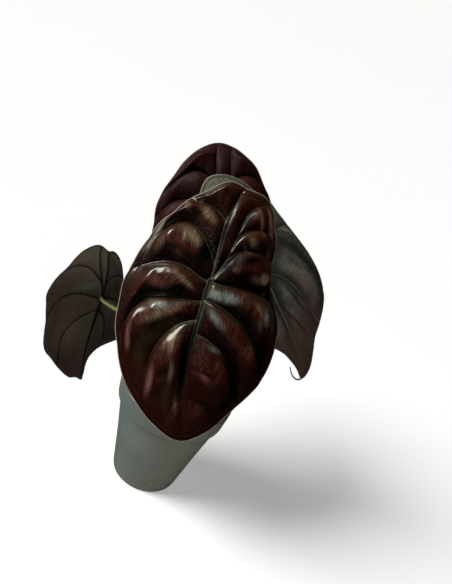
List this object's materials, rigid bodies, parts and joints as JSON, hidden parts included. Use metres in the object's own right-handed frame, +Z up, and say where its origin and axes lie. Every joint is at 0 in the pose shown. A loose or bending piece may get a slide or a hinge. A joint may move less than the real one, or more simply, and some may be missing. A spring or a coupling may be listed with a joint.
{
  "type": "potted alocasia",
  "caption": "Young potted alocasia with quilted, shield-shaped glossy leaves on arching stalks, rooted in soil in a tapered nursery pot.",
  "frame": {"origin": "centre of the pot's flat underside", "axes": "+Z up along the pot's axis; -Y towards the viewer, whom the front leaf's upper face looks at; +X to the viewer's right"},
  "size_m": [0.203, 0.1433, 0.2446],
  "materials": {
    "pot": "satin",
    "soil": "matte",
    "crown": "satin",
    "petiole": "satin",
    "blade_front": "gloss",
    "blade_right": "satin",
    "blade_back": "gloss",
    "blade_left": "matte"
  },
  "bodies": {
    "root": {"pot": "pot", "soil": "soil", "crown": "crown", "petiole_front": "petiole", "blade_front": "blade_front", "petiole_right": "petiole", "blade_right": "blade_right", "petiole_back": "petiole", "blade_back": "blade_back", "petiole_left": "petiole", "blade_left": "blade_left"}
  },
  "joints": []
}
